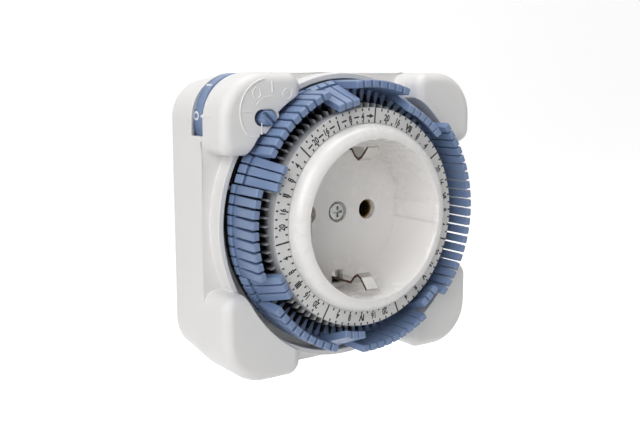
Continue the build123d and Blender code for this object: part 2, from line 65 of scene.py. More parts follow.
# Segments that stand tilted, as first and last number counted from the day line on top
TILTED_GROUPS = [(3, 5), (15, 17), (27, 29), (39, 41), (51, 53), (74, 79)]


# ---- Shapes: arrays of points in millimetres and lists of face arrays


def rounded(corners, steps):
    """Closed outline of (x, y, radius) corners with the corners turned into arcs.

    At a corner with unit directions d1 in and d2 out and a turn t, the arc of radius r
    starts r*tan(t/2) before the corner and ends as far after it.
    """
    corners = np.asarray(corners, float)
    points = corners[:, :2]
    neighbours = zip(points, np.roll(points, 1, 0), np.roll(points, -1, 0), corners[:, 2])
    result = []
    for corner, before, after, radius in neighbours:
        if radius <= 0:
            result.append(corner[None])
            continue
        inward, onward = corner - before, after - corner
        reach_in, reach_on = np.hypot(*inward), np.hypot(*onward)
        inward, onward = inward / reach_in, onward / reach_on
        turn = np.arctan2(inward[0] * onward[1] - inward[1] * onward[0], inward @ onward)
        longest = 0.49 * min(reach_in, reach_on)
        cut = min(radius * abs(np.tan(turn / 2)), longest)
        radius = cut / max(abs(np.tan(turn / 2)), 1e-9)
        side = np.sign(turn) * np.array([-inward[1], inward[0]])
        centre = corner - inward * cut + side * radius
        angles = np.linspace(0, turn, steps + 1)[:, None]
        arm = -side * radius
        crossed = np.array([-arm[1], arm[0]])
        result.append(centre + arm * np.cos(angles) + crossed * np.sin(angles))
    return np.vstack(result)


def inset(outline, depth):
    """Closed outline moved inwards by a depth along the mitre of its two neighbouring normals."""
    ahead = np.roll(outline, -1, 0)
    edge = ahead - outline
    edge /= np.maximum(np.hypot(edge[:, 0], edge[:, 1]), 1e-9)[:, None]
    area = np.sum(outline[:, 0] * ahead[:, 1] - outline[:, 1] * ahead[:, 0])
    normal = np.stack([-edge[:, 1], edge[:, 0]], 1) * np.sign(area)
    before = np.roll(normal, 1, 0)
    share = 1 + np.sum(before * normal, 1)
    least_share = 0.4
    return outline + depth * (before + normal) / np.maximum(share, least_share)[:, None]


def grid_faces(rows, columns, wrap_rows, wrap_columns):
    """Four-cornered faces of a grid of points, row after row, closed on itself where asked."""
    row = np.arange(rows if wrap_rows else rows - 1)[:, None]
    column = np.arange(columns if wrap_columns else columns - 1)[None]
    next_row, next_column = (row + 1) % rows, (column + 1) % columns
    corners = [row * columns + column, row * columns + next_column,
               next_row * columns + next_column, next_row * columns + column]
    return np.stack([np.broadcast_to(c, (row.size, column.size)).ravel() for c in corners], 1)


def outward(points, faces):
    """Turns a closed shape's faces over if its signed volume is negative."""
    volume = 0.0
    for group in faces:
        corners = points[group]
        for k in range(1, group.shape[1] - 1):
            volume += np.sum(np.cross(corners[:, 0], corners[:, k]) * corners[:, k + 1])
    return points, [group[:, ::-1] for group in faces] if volume < 0 else faces


def swept(rings, closed=False):
    """Solid through a row of equal rings, with flat caps unless the row closes on itself."""
    rows, columns = rings.shape[:2]
    points = rings.reshape(-1, 3)
    faces = [grid_faces(rows, columns, closed, True)]
    if not closed:
        faces.append(np.arange(columns)[None, ::-1])
        faces.append((np.arange(columns) + (rows - 1) * columns)[None])
    return outward(points, faces)


def turned(profile):
    """Ring from a closed outline of (radius, height): (r cos a, -h, r sin a) for a round turn."""
    angle = np.arange(RING_STEPS)[:, None] * TURN / RING_STEPS
    radius, height = profile.T
    level = np.broadcast_to(-height, (RING_STEPS, len(radius)))
    return swept(np.stack([radius * np.cos(angle), level, radius * np.sin(angle)], 2), closed=True)


def ridge(path, wide, rise, foot, closed=False):
    """Raised line along (x, z) points on a plane at height foot.

    Its section is a trapezoid: half width wide / 2 at the foot and wide / 5 at the crest,
    with its base a little under the plane.
    """
    path = np.asarray(path, float)
    ahead, behind = np.roll(path, -1, 0), np.roll(path, 1, 0)
    if not closed:
        ahead[-1], behind[0] = path[-1], path[0]
    along = ahead - behind
    along /= np.hypot(along[:, 0], along[:, 1])[:, None]
    normal = np.column_stack([-along[:, 1], along[:, 0]])
    base = -0.1
    section = [(-0.5, base), (-0.5, 0.0), (-0.2, rise), (0.2, rise), (0.5, 0.0), (0.5, base)]
    rings = []
    for across, height in section:
        place = path + normal * across * wide
        level = np.full(len(path), -foot - height)
        rings.append(np.column_stack([place[:, 0], level, place[:, 1]]))
    return swept(np.stack(rings, 1), closed)


def arc(centre, radius, first, last, steps):
    """Points of a circular or elliptic arc between two angles in degrees."""
    angle = np.radians(np.linspace(first, last, steps))
    return np.column_stack([centre[0] + np.atleast_1d(radius)[0] * np.cos(angle),
                            centre[1] + np.atleast_1d(radius)[-1] * np.sin(angle)])


def joined(shapes):
    """Several shapes as one."""
    points, faces, start = [], [], 0
    for some_points, some_faces in shapes:
        points.append(some_points)
        faces += [group + start for group in some_faces]
        start += len(some_points)
    return np.vstack(points), faces


def on_dial(shape, angle, tilt=0.0):
    """Shape of (radius, tangent, height) points put at an angle of the dial.

    A tilt turns it first about the pivot wire, front edge inwards:
    R' = Rp + (R-Rp) cos t - (h-hp) sin t and h' = hp + (R-Rp) sin t + (h-hp) cos t.
    """
    sizes = bpy.context.scene.timer_sizes
    pivot_radius, pivot_height = sizes.pivot_radius / MM, sizes.pivot_height / MM
    points, faces = shape
    radius, along, height = points.T
    from_radius, from_height = radius - pivot_radius, height - pivot_height
    tilt, angle = np.radians(tilt), np.radians(angle)
    radius = pivot_radius + from_radius * np.cos(tilt) - from_height * np.sin(tilt)
    height = pivot_height + from_radius * np.sin(tilt) + from_height * np.cos(tilt)
    return outward(np.column_stack([radius * np.cos(angle) - along * np.sin(angle), -height,
                                    radius * np.sin(angle) + along * np.cos(angle)]), faces)


def lettering(text, tall, narrow, weight):
    """Flat characters, centred, as (x, up, height) points from Blender's own typeface."""
    curve = bpy.data.curves.new("lettering", "FONT")
    curve.body = text
    curve.size = 1.0
    curve.offset = weight
    curve.resolution_u = 3
    thing = bpy.data.objects.new("lettering", curve)
    bpy.context.scene.collection.objects.link(thing)
    bpy.context.view_layer.update()
    shown = thing.evaluated_get(bpy.context.evaluated_depsgraph_get())
    mesh = bpy.data.meshes.new_from_object(shown)
    flat = np.empty(len(mesh.vertices) * 3)
    mesh.vertices.foreach_get("co", flat)
    flat = flat.reshape(-1, 3)
    mesh.calc_loop_triangles()
    triangles = np.empty(len(mesh.loop_triangles) * 3, int)
    mesh.loop_triangles.foreach_get("vertices", triangles)
    triangles = triangles.reshape(-1, 3)
    bpy.data.objects.remove(thing)
    bpy.data.meshes.remove(mesh)
    bpy.data.curves.remove(curve)
    flat, merged = np.unique(np.round(flat[:, :2], 5), axis=0, return_inverse=True)
    triangles = merged.ravel()[triangles]
    low, high = flat.min(0), flat.max(0)
    scale = tall / (high[1] - low[1])
    flat = (flat - (low + high) / 2) * [scale * narrow, scale]
    edges = np.vstack([triangles[:, [0, 1]], triangles[:, [1, 2]], triangles[:, [2, 0]]])
    known = {tuple(edge) for edge in edges}
    rim = np.array([edge for edge in edges if (edge[1], edge[0]) not in known])
    count = len(flat)
    walls = np.column_stack([rim[:, 1], rim[:, 0], rim[:, 0] + count, rim[:, 1] + count])
    points = np.vstack([np.column_stack([flat, np.full(count, level)]) for level in (0, PRINT)])
    return points, [triangles[:, ::-1], triangles + count, walls]


def flat_mark(corners):
    """Print with a straight-edged outline, as (x, up, height) points."""
    low = np.column_stack([corners, np.zeros(len(corners))])
    return swept(np.stack([low, low + [0, 0, PRINT]]))


def bar(length, breadth):
    """Flat bar along its first direction, centred."""
    return flat_mark(np.array([[-1, -1], [1, -1], [1, 1], [-1, 1]]) * [length, breadth] / 2)


# ---- Objects


def make_piece(name, shape, body, material, replaces=()):
    """Mesh object from a shape in millimetres, riding on a CAD body."""
    points, faces = shape
    mesh = bpy.data.meshes.new(name)
    lengths = np.concatenate([np.full(len(group), group.shape[1]) for group in faces])
    loops = np.concatenate([group.ravel() for group in faces]).astype(np.int32)
    starts = np.concatenate([[0], np.cumsum(lengths)[:-1]]).astype(np.int32)
    mesh.vertices.add(len(points))
    mesh.vertices.foreach_set("co", (points * MM).astype(np.float32).ravel())
    mesh.loops.add(len(loops))
    mesh.loops.foreach_set("vertex_index", loops)
    mesh.polygons.add(len(lengths))
    mesh.polygons.foreach_set("loop_start", starts)
    mesh.update(calc_edges=True)
    mesh.validate()
    smooth_mesh(mesh, SHARP_MADE)
    thing = bpy.data.objects.new(name, mesh)
    bpy.context.scene.collection.objects.link(thing)
    mesh.materials.append(material)
    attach(thing, body)
    if replaces:
        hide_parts(*replaces)
    return thing


def smooth_mesh(mesh, sharp):
    """Smooth faces, with edges kept sharp past an angle in degrees."""
    mesh.polygons.foreach_set("use_smooth", np.ones(len(mesh.polygons), bool))
    mesh.set_sharp_from_angle(angle=np.radians(sharp))


def softened_copy(node, name, body, material, width, reshape=None):
    """Merged copy of a CAD node with its edges eased by a small bevel.

    A reshape function takes its points in millimetres and gives them back moved.
    """
    source = frame["nodes"][node]
    mesh = source.data.copy()
    mesh.name = name
    merge_flat(mesh)
    if reshape:
        points = np.empty(len(mesh.vertices) * 3)
        mesh.vertices.foreach_get("co", points)
        mesh.vertices.foreach_set("co", (reshape(points.reshape(-1, 3) / MM) * MM).ravel())
    smooth_mesh(mesh, SHARP_COPIED)
    mesh.materials.clear()
    mesh.materials.append(material)
    thing = bpy.data.objects.new(name, mesh)
    bpy.context.scene.collection.objects.link(thing)
    if width:
        bevel = thing.modifiers.new("Eased edges", "BEVEL")
        bevel.width = width
        bevel.segments = 2
        bevel.limit_method = "ANGLE"
        bevel.angle_limit = np.radians(SHARP_COPIED)
        bevel.use_clamp_overlap = False
    even = thing.modifiers.new("Even shading", "WEIGHTED_NORMAL")
    even.keep_sharp = True
    even.weight = 80
    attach(thing, body)
    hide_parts(node)
    return thing


def merge_flat(mesh):
    """Merges doubled points and joins the triangles of flat faces."""
    doubled, level = 0.002 * MM, np.radians(0.4)
    shell = bmesh.new()
    shell.from_mesh(mesh)
    bmesh.ops.remove_doubles(shell, verts=shell.verts, dist=doubled)
    bmesh.ops.dissolve_limit(shell, angle_limit=level, verts=shell.verts, edges=shell.edges,
                             use_dissolve_boundaries=False)
    shell.to_mesh(mesh)
    shell.free()


# ---- Materials: lengths in metres


def fill(tree, node, inputs):
    """Links the sockets among a node's inputs and sets the constants."""
    for key, value in inputs.items():
        if isinstance(value, bpy.types.NodeSocket):
            tree.links.new(value, node.inputs[key])
        else:
            node.inputs[key].default_value = value


def shader(name):
    """New node material; returns it with a maker of linked nodes that gives back their outputs."""
    material = bpy.data.materials.new(name)
    material.use_nodes = True
    tree = material.node_tree

    def add(kind, inputs, **settings):
        node = tree.nodes.new(kind)
        for key, value in settings.items():
            setattr(node, key, value)
        fill(tree, node, inputs)
        return node.outputs

    return material, add


def surfaced(material, inputs):
    """Fills in a material's surface and returns the material."""
    tree = material.node_tree
    fill(tree, tree.nodes["Principled BSDF"], inputs)
    return material


def noise(add, place, scale, detail, roughness=0.5):
    """Cloudy noise from 0 to 1."""
    return add("ShaderNodeTexNoise", {"Vector": place, "Scale": scale, "Detail": detail,
                                      "Roughness": roughness})["Fac"]


def computed(add, operation, *values):
    """Result of one arithmetic operation."""
    return add("ShaderNodeMath", dict(enumerate(values)), operation=operation)[0]


def remapped(add, value, low, high, new_low, new_high, **settings):
    """Value carried from one range to another."""
    return add("ShaderNodeMapRange", {"Value": value, "From Min": low, "From Max": high,
                                      "To Min": new_low, "To Max": new_high}, **settings)["Result"]


def mixed(add, factor, first, second):
    """Colour that runs from a first one to a second with a factor from 0 to 1."""
    return add("ShaderNodeMix", {"Factor": factor, "A": first, "B": second}, data_type="RGBA")[2]


def bumped(add, height, strength, distance):
    """Normal of a surface that a height from 0 to 1 raises by a distance."""
    return add("ShaderNodeBump", {"Height": height, "Strength": strength,
                                  "Distance": distance})["Normal"]


def moulded(name, colour, roughness, grain=0.02, grain_size=0.00035, mottle=0.03, coat=0.0):
    """Injection-moulded plastic: fine grain, faint flow mottling and uneven gloss."""
    material, add = shader(name)
    place = add("ShaderNodeTexCoord", {})["Object"]
    flow = noise(add, place, 55.0, 3.0, 0.55)
    scuffs = noise(add, place, 420.0, 4.0, 0.7)
    fine = noise(add, place, 1 / grain_size, 2.0)
    darker = [c * (1 - mottle) for c in colour]
    spread = 0.05
    gloss = remapped(add, computed(add, "MULTIPLY", flow, scuffs), 0.1, 0.45,
                     roughness - spread, roughness + spread)
    return surfaced(material, {
        "Base Color": mixed(add, flow, [*darker, 1], [*colour, 1]), "Roughness": gloss,
        "Normal": bumped(add, fine, grain, 0.0002), "IOR": 1.5,
        "Coat Weight": coat, "Coat Roughness": 0.25})


def shade_painted_by_height(name, front, deep, roughness):
    """Plastic with painted light and shade: its thin front edge stays pale as painted light, and the
    colour runs from deep, a painted black shade, to front with height over the rear face, broken up
    by fine streaks."""
    material, add = shader(name)
    place = add("ShaderNodeTexCoord", {})["Object"]
    shade_below, lit_above, ragged = 28.4 * MM, 31.4 * MM, 1.2 * MM
    streaks = noise(add, place, 900.0, 3.0)
    height = computed(add, "MULTIPLY", add("ShaderNodeSeparateXYZ", {"Vector": place})["Y"], -1.0)
    level = computed(add, "MULTIPLY_ADD", streaks, ragged, height)
    # Painted shade: black deep in the shaded gap behind the segments, pale painted light near the
    # front; the streaks make its edge ragged
    painted_shade = remapped(add, level, shade_below, lit_above, 0.0, 1.0, interpolation_type="SMOOTHSTEP")
    return surfaced(material, {
        "Base Color": mixed(add, painted_shade, [*deep, 1], [*front, 1]), "Roughness": roughness,
        "Normal": bumped(add, streaks, 0.05, 0.0002), "Specular IOR Level": 0.2})


def metal(name, colour, roughness, streak=(30.0, 900.0, 900.0), depth=0.06, cut_edge=0.0):
    """Plated or plain metal with fine drawn streaks and slight tarnish.

    What lies farther to the left or right than a cut edge is unplated: brown and dull.
    """
    material, add = shader(name)
    place = add("ShaderNodeTexCoord", {})["Object"]
    stretched = add("ShaderNodeMapping", {"Vector": place, "Scale": streak})["Vector"]
    drawn = noise(add, stretched, 3.0, 4.0)
    tarnish = noise(add, place, 260.0, 3.0)
    dull = [c * 0.72 for c in colour]
    tint, plated = mixed(add, tarnish, [*dull, 1], [*colour, 1]), 1.0
    if cut_edge:
        sideways = add("ShaderNodeSeparateXYZ", {"Vector": place})["X"]
        bare = computed(add, "GREATER_THAN", computed(add, "ABSOLUTE", sideways), cut_edge)
        tint = mixed(add, bare, tint, (0.07, 0.03, 0.015, 1))
        plated = computed(add, "SUBTRACT", 1.0, bare)
    gloss = remapped(add, drawn, 0.3, 0.7, max(roughness - 0.05, 0.02), roughness + 0.08)
    return surfaced(material, {
        "Base Color": tint, "Metallic": plated, "Roughness": gloss,
        "Normal": bumped(add, drawn, depth, 0.0001)})


def wound(name, colour):
    """Coil of enamelled wire: fine turns about the plug's axis."""
    material, add = shader(name)
    place = add("ShaderNodeTexCoord", {})["Object"]
    turns = add("ShaderNodeTexWave", {"Vector": place, "Scale": 900.0, "Distortion": 0.4},
                bands_direction="Y")["Fac"]
    dull = [c * 0.4 for c in colour]
    return surfaced(material, {
        "Base Color": mixed(add, turns, [*dull, 1], [*colour, 1]), "Roughness": 0.35,
        "Normal": bumped(add, turns, 0.4, 0.0001)})


def seen_directly(tree):
    """Socket that is 1 for what the camera sees, also mirrored or through something clear, and
    0 for what only gives light."""
    path = tree.nodes.new("ShaderNodeLightPath")
    seen = path.outputs["Is Camera Ray"]
    for kind in ("Is Glossy Ray", "Is Transmission Ray"):
        either = tree.nodes.new("ShaderNodeMath")
        either.operation = "MAXIMUM"
        fill(tree, either, {0: seen, 1: path.outputs[kind]})
        seen = either.outputs[0]
    return seen


_finishes = {}


def finish_of(slot):
    """Material of a finish slot, made once from the colours in the panel."""
    if slot not in _finishes:
        colours = bpy.context.scene.timer_colours
        makers = {
            "housing": lambda: moulded("White housing plastic", colours.housing, 0.42,
                                       grain=0.05, grain_size=0.0003, mottle=0.025),
            "socket": lambda: moulded("White socket plastic", colours.socket, 0.27,
                                      grain_size=0.0006, mottle=0.02, coat=0.15),
            "scale": lambda: moulded("White scale plastic", colours.dial, 0.4,
                                     grain=0.03, grain_size=0.0004),
            # Carrier colour is painted light and shade: pale at the front, black deeper down where
            # the gap behind the segments lies in shade
            "carrier": lambda: shade_painted_by_height("Carrier plastic with painted shade", (0.5, 0.5, 0.5),
                                     (0.014, 0.014, 0.017), 0.42),
            "blue_plastic": lambda: moulded("Grey-blue segment plastic", colours.blue, 0.38,
                                            grain=0.04, grain_size=0.0003, mottle=0.10),
            "ink": lambda: moulded("Black printing ink", colours.ink, 0.55,
                                   grain=0.1, grain_size=0.0002, mottle=0.3),
            "white_ink": lambda: moulded("White printing ink", colours.white_ink, 0.5,
                                         grain=0.05, grain_size=0.0002, mottle=0.05),
            "dark_plastic": lambda: moulded("Black switch plastic", (0.03, 0.03, 0.033), 0.5,
                                            grain=0.05),
            "gear_plastic": lambda: moulded("Natural gear plastic", (0.72, 0.69, 0.6), 0.35),
            "steel": lambda: metal("Zinc-plated steel", (0.42, 0.43, 0.42), 0.3),
            "plated_spring": lambda: metal("Plated spring strip", (0.70, 0.69, 0.67), 0.1,
                                           streak=(900.0, 30.0, 900.0), depth=0.03,
                                           cut_edge=0.00172),
            "plated_pin": lambda: metal("Nickel-plated pin", (0.75, 0.74, 0.71), 0.16,
                                        streak=(900.0, 20.0, 900.0)),
            "brass": lambda: metal("Brass strip", (0.78, 0.57, 0.26), 0.28),
            "magnet": lambda: moulded("Sintered magnet", (0.05, 0.05, 0.055), 0.45,
                                      grain=0.12, grain_size=0.0004),
            "coil": lambda: wound("Enamelled copper winding", (0.55, 0.2, 0.07)),
        }
        _finishes[slot] = makers[slot]()
    return _finishes[slot]


def dress_nodes(*nodes):
    """Gives CAD nodes the finish of their recorded slot."""
    slots = {part["node"]: part["material_slot"] for part in frame["record"]["subparts"]}
    for node in nodes:
        mesh = frame["nodes"][node].data
        mesh.materials.clear()
        mesh.materials.append(finish_of(slots[node]))


# ---- Settings


class TimerSizes(bpy.types.PropertyGroup):
    """Sizes of the dressed pieces"""
    scale_inner: FloatProperty(name="Scale inner radius", default=23.4 * MM, unit="LENGTH",
                               description="Radius at which the printed scale starts")
    scale_outer: FloatProperty(name="Scale outer radius", default=27.2 * MM, unit="LENGTH",
                               description="Radius of the dial plate's edge")
    dial_front: FloatProperty(name="Dial front", default=33.4 * MM, unit="LENGTH",
                              description="Height of the dial's face in front of the rear face")
    pivot_radius: FloatProperty(name="Pivot radius", default=28.4 * MM, unit="LENGTH",
                                description="Radius of the wire on which the segments turn")
    pivot_height: FloatProperty(name="Pivot height", default=24.8 * MM, unit="LENGTH",
                                description="Height of the wire on which the segments turn")
    segment_tilt: FloatProperty(name="Tilt in degrees", default=22.0,
                                description="How far a flipped segment leans inwards, in degrees")
    segment_count: IntProperty(name="Segments", default=84, description="Segments round the dial")
    first_line: FloatProperty(
        name="First day line in degrees", default=85.79,
        description="Angle of the first day line, in degrees from the right")
    numeral_height: FloatProperty(name="Numeral height", default=1.75 * MM, unit="LENGTH",
                                  description="Height of the printed numerals")
    drum_sign: FloatProperty(
        name="Drum sign in degrees", default=178.5,
        description="Angle of the first sign on the drum, in degrees from the right")
    edge: FloatProperty(name="Eased edge", default=0.2 * MM, unit="LENGTH",
                        description="Width of the eased edges of the housing")


class TimerColours(bpy.types.PropertyGroup):
    """Colours of the finishes"""
    housing: FloatVectorProperty(name="Housing", subtype="COLOR", default=(0.80, 0.79, 0.78),
                                 description="White of the housing")
    socket: FloatVectorProperty(name="Socket", subtype="COLOR", default=(0.86, 0.845, 0.83),
                                description="White of the socket insert")
    dial: FloatVectorProperty(name="Dial", subtype="COLOR", default=(0.68, 0.675, 0.665),
                              description="White of the scale ring")
    blue: FloatVectorProperty(name="Segments", subtype="COLOR", default=(0.18, 0.257, 0.425),
                              description="Grey-blue of the segments and the selector")
    ink: FloatVectorProperty(name="Scale print", subtype="COLOR", default=(0.02, 0.02, 0.022),
                             description="Black of the printed scale")
    white_ink: FloatVectorProperty(
        name="Selector print", subtype="COLOR", default=(0.85, 0.86, 0.88),
        description="White of the marks on the selector drum")


class TimerStage(bpy.types.PropertyGroup):
    """Camera and lamps"""
    camera_place: FloatVectorProperty(
        name="Camera place", subtype="TRANSLATION", unit="LENGTH",
        default=(-0.132904, -0.205446, 0.033925), description="Where the camera stands")
    camera_aim: FloatVectorProperty(
        name="Camera aim", subtype="TRANSLATION", unit="LENGTH",
        default=(-0.01444, -0.0334, 0.000957), description="Point the camera looks at")
    focal_length: FloatProperty(name="Focal length in mm", default=50.034,
                                description="On a sensor 36 mm wide")
    floor_height: FloatProperty(name="Floor height", default=-0.16, unit="LENGTH",
                                description="Height of the floor under the plug's axis")
    key_power: FloatProperty(name="Key lamp in watts", default=5.0,
                             description="Large soft lamp on the left")
    top_power: FloatProperty(name="Top lamp in watts", default=4.2,
                             description="Large soft lamp above")
    fill_power: FloatProperty(name="Fill lamp in watts", default=0.3,
                              description="Soft lamp in front")
    sky: FloatProperty(name="Surrounding light", default=0.16,
                       description="Strength of the even light all round")


# ---- Operators


class TIMER_OT_stage(bpy.types.Operator):
    """Camera at the photograph's angle, soft lamps and a plain pale floor"""
    bl_idname = "timer.stage"
    bl_label = "Stage"

    def execute(self, context):
        scene, stage = context.scene, context.scene.timer_stage
        scene.view_settings.view_transform = "Standard"
        lens = bpy.data.cameras.new("Camera")
        lens.sensor_width = 36.0
        lens.lens = stage.focal_length
        lens.clip_start = 0.005
        camera = bpy.data.objects.new("Camera", lens)
        self.set_up(scene, camera, stage.camera_place)
        scene.camera = camera
        # Name, place and width in metres, and power of each square lamp
        for name, place, size, power in [
                ("Key lamp", (-0.7, -0.42, 0.4), 0.7, stage.key_power),
                ("Top lamp", (0.05, -0.03, 0.8), 0.6, stage.top_power),
                ("Fill lamp", (-0.45, -0.85, 0.25), 0.6, stage.fill_power)]:
            light = bpy.data.lights.new(name, "AREA")
            light.size = size
            light.energy = power
            self.set_up(scene, bpy.data.objects.new(name, light), place)
        self.light_room(scene, stage)
        self.lay_floor(scene, stage)
        return {"FINISHED"}

    def set_up(self, scene, thing, place):
        """Puts a camera or lamp in its place, turned to the point the camera looks at."""
        scene.collection.objects.link(thing)
        thing.location = place
        sight = Vector(scene.timer_stage.camera_aim) - thing.location
        thing.rotation_euler = sight.to_track_quat("-Z", "Y").to_euler()

    def light_room(self, scene, stage):
        """Even white surroundings: strength 1 where seen or mirrored, the set strength as light."""
        world = bpy.data.worlds.new("Room")
        scene.world = world
        world.use_nodes = True
        tree = world.node_tree
        level = tree.nodes.new("ShaderNodeMapRange")
        fill(tree, level, {"Value": seen_directly(tree), "To Min": stage.sky, "To Max": 1.0})
        fill(tree, tree.nodes["Background"],
             {"Color": (1, 1, 1, 1), "Strength": level.outputs["Result"]})

    def lay_floor(self, scene, stage):
        """Floor that curves up behind: z = floor for y < bend, then a quarter circle and a wall."""
        bend, radius, near, side, tall = 0.9, 0.5, -2.2, 3.52, 2.5
        sweep = np.linspace(0, np.pi / 2, 25)
        y = np.concatenate([[near], bend + radius * np.sin(sweep), [bend + radius]])
        z = np.concatenate([[0], radius * (1 - np.cos(sweep)), [tall]]) + stage.floor_height
        points = np.stack([np.column_stack([np.full(len(y), x), y, z]) for x in (-side, side)], 1)
        faces = grid_faces(len(y), 2, False, False)[:, ::-1]
        mesh = bpy.data.meshes.new("Floor")
        mesh.from_pydata(points.reshape(-1, 3).tolist(), [], faces.tolist())
        smooth_mesh(mesh, 80)
        floor = bpy.data.objects.new("Floor", mesh)
        scene.collection.objects.link(floor)
        material, add = shader("Pale floor")
        glow = computed(add, "MULTIPLY", seen_directly(material.node_tree), 0.75)
        mesh.materials.append(surfaced(material, {
            "Base Color": (0.85, 0.85, 0.85, 1), "Roughness": 0.7,
            "Emission Color": (1, 1, 1, 1), "Emission Strength": glow}))


class TIMER_OT_housing(bpy.types.Operator):
    """White housing with eased edges"""
    bl_idname = "timer.housing"
    bl_label = "Housing"

    def execute(self, context):
        softened_copy("housing", "housing_shell", "housing", finish_of("housing"),
                      context.scene.timer_sizes.edge, self.window)
        make_piece("housing_index", self.index(), "housing", finish_of("housing"))
        dress_nodes("rear_cover", "housing_screws")
        return {"FINISHED"}

    def window(self, points):
        """Mouth of the drum's window on the outer wall, slid forwards along the tapered wall: its
        back edge from height 11.5 to 13.8 and its front edge from 17.0 to 19.7."""
        corner, radius, taper = np.array([-26.9, 24.3]), 11.2, 0.25
        upper_end, lower_end, same = -20.1, 20.5, 0.03
        past = np.maximum((points[:, [0, 2]] - corner) * [-1, 1], 0)
        reach = np.hypot(*past.T)
        mouth = (points[:, 0] < upper_end) & (points[:, 2] > lower_end)
        back = mouth & (abs(points[:, 1] + 11.5) < same) & (reach > radius - 0.4)
        front = mouth & (abs(points[:, 1] + 17.0) < same) & (reach > radius - 0.08)
        points[np.ix_(back, [0, 2])] += past[back] / reach[back, None] * [-1, 1] * taper
        points[back, 1] = -13.8
        points[front, 1] = -19.7
        return points

    def index(self):
        """Pointer at the drum's window: a small cone and a thin line on the left wall, drawn as
        (depth, z) and stood off the wall by their rise."""
        wall, level = -38.1, 25.4
        start, neck, end = 19.75, 21.3, 23.4
        shapes = []
        for first, last, wide, rise in [(start, neck, 0.9, 0.4), (neck, end, 0.25, 0.1)]:
            points, faces = ridge([(first, level), (last, level)], wide, rise, 0.0)
            x, y, z = wall + points[:, 1], -points[:, 0], points[:, 2]
            shapes.append(outward(np.column_stack([x, y, z]), faces))
        return joined(shapes)


class TIMER_OT_selector(bpy.types.Operator):
    """Selector drum with its print, and the raised marks round its shaft"""
    bl_idname = "timer.selector"
    bl_label = "Selector"

    def execute(self, context):
        softened_copy("selector", "selector_body", "selector",
                      finish_of("blue_plastic"), 0.0)
        make_piece("selector_print", self.drum_print(), "selector",
                   finish_of("white_ink"))
        make_piece("selector_marks", self.lug_marks(), "housing", finish_of("housing"))
        dress_nodes("selector_leaf", "follower")
        return {"FINISHED"}

    def drum_print(self):
        """Signs for off, on and timed on the drum: flat rings and bars bent round radius R by
        x = R cos a, z = R sin a, 45 degrees apart."""
        first_sign = bpy.context.scene.timer_sizes.drum_sign
        radius, middle, rise, lift = 10.3, 14.1, 0.015, 0.012
        # Path, width and whether it closes on itself, for each line of each sign
        signs = [[(arc((0, 0), (0.85, 1.1), 0, 360, 33)[:-1], 0.5, True)],
                 [([(0, -1.5), (0, 2.2)], 0.5, False)],
                 [(arc((0, 0), 1.3, 0, 360, 33)[:-1], 0.3, True),
                  ([(0, 1.0), (0, 0), (0.7, 0)], 0.3, False)]]
        shapes = []
        for place, lines in enumerate(signs):
            for path, wide, closed in lines:
                points, faces = ridge(path, wide, rise, 0.0, closed)
                around, sunk, deep = points.T
                turn = np.radians(first_sign - 45 * place) + around / radius
                reach = radius + lift - sunk
                x = SELECTOR_AXIS[0] + reach * np.cos(turn)
                z = SELECTOR_AXIS[1] + reach * np.sin(turn)
                shapes.append(outward(np.column_stack([x, -middle - deep, z]), faces))
        return joined(shapes)

    def lug_marks(self):
        """Raised lines on the upper left lug: crescent lip, ticks, and the signs 0, I and a
        clock."""
        front = 29.2
        # Path, width, rise and whether it closes on itself
        lines = [(arc((-25.6, 26.4), 7.75, 100, 220, 40), 0.45, 0.16, False),
                 (arc((-25.6, 26.0), 4.0, 78, 148, 16), 0.3, 0.08, False),
                 ([(-32.5, 26.6), (-30.2, 26.6)], 0.28, 0.1, False),
                 ([(-27.7, 24.1), (-27.7, 21.3)], 0.28, 0.1, False),
                 ([(-31.2, 20.9), (-28.4, 20.9)], 0.25, 0.08, False),
                 ([(-24.8, 31.0), (-24.8, 33.6)], 0.42, 0.14, False),
                 (arc((-28.95, 30.8), (1.05, 1.3), 0, 360, 29)[:-1], 0.32, 0.12, True),
                 ([(-27.6, 29.6), (-26.9, 29.0)], 0.35, 0.12, False),
                 (arc((-20.75, 30.5), 1.2, 0, 360, 29)[:-1], 0.32, 0.12, True),
                 ([(-20.75, 31.2), (-20.75, 30.5), (-20.25, 30.5)], 0.26, 0.12, False),
                 ([(-19.6, 31.9), (-19.2, 31.2), (-19.3, 30.3)], 0.26, 0.1, False)]
        return joined([ridge(path, wide, rise, front, closed)
                       for path, wide, rise, closed in lines])


class TIMER_OT_socket(bpy.types.Operator):
    """Socket insert: collar, mouth, smooth cup and floor"""
    bl_idname = "timer.socket"
    bl_label = "Socket"

    def execute(self, context):
        softened_copy("socket_insert", "socket_cup", "housing", finish_of("socket"), 0.0)
        dress_nodes("centre_screw", "earth_strip", "plug_earth_strip", "plug_pin_left",
                    "plug_pin_right")
        return {"FINISHED"}


